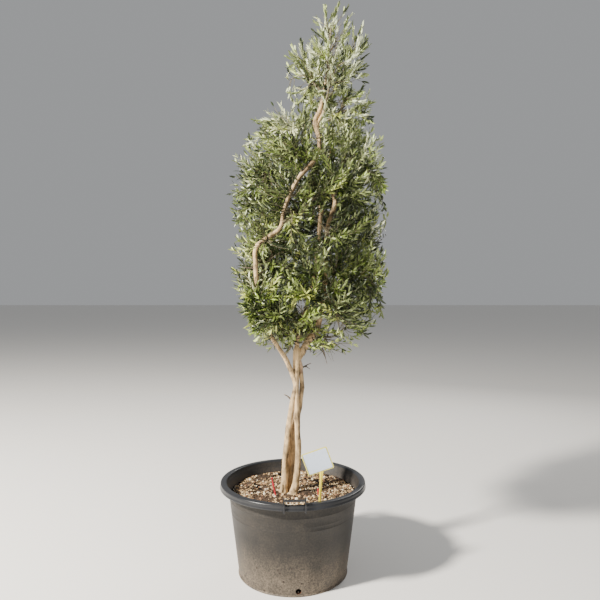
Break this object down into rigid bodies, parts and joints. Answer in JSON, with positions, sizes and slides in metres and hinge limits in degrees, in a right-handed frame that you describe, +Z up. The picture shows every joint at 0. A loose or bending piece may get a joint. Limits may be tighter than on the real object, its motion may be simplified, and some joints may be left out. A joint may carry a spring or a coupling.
{
  "type": "potted olive tree",
  "caption": "Tall slender olive tree with leaning stems and an airy crown of narrow leaves, planted in a round gravel-topped nursery tub with two rim grips, a plain label and drip pegs.",
  "frame": {"origin": "middle of the flat underside of the tub, on the floor that it stands on", "axes": "+Z up along the tree, -Y towards the viewer of the picture (the side of the label), +X to the right"},
  "size_m": [0.8594, 0.7778, 2.9442],
  "materials": {
    "tub": "dusty black moulded plastic",
    "soil": "soil under fine tan gravel and chips",
    "bark": "smooth grey to tan bark with small knots",
    "foliage": "grey-green leaves, silvery below",
    "card": "blank pale label card",
    "holder": "pale yellow plastic",
    "peg": "red plastic"
  },
  "bodies": {
    "root": {"tub": "tub", "soil": "soil", "grip_front": "tub", "grip_back": "tub", "label_card": "card", "label_holder": "holder", "drip_peg_left": "peg", "drip_peg_right": "peg", "stem_main": "bark", "stem_left": "bark", "stem_back": "bark", "bough_left": "bark", "leader_left": "bark", "leader_top": "bark", "branch_top": "bark", "bough_right": "bark", "leader_right": "bark", "leader_centre": "bark", "foliage_top_spire": "foliage", "foliage_top_left": "foliage", "foliage_top_right": "foliage", "foliage_top_front": "foliage", "foliage_top_back": "foliage", "foliage_shoulder_right": "foliage", "foliage_low_right": "foliage", "foliage_crown_01": "foliage", "foliage_crown_02": "foliage", "foliage_crown_03": "foliage", "foliage_crown_04": "foliage", "foliage_crown_05": "foliage", "foliage_crown_06": "foliage", "foliage_crown_07": "foliage", "foliage_crown_08": "foliage", "foliage_crown_09": "foliage", "foliage_crown_10": "foliage", "foliage_crown_11": "foliage", "foliage_crown_12": "foliage", "foliage_crown_13": "foliage", "foliage_crown_14": "foliage", "foliage_crown_15": "foliage"}
  },
  "joints": []
}
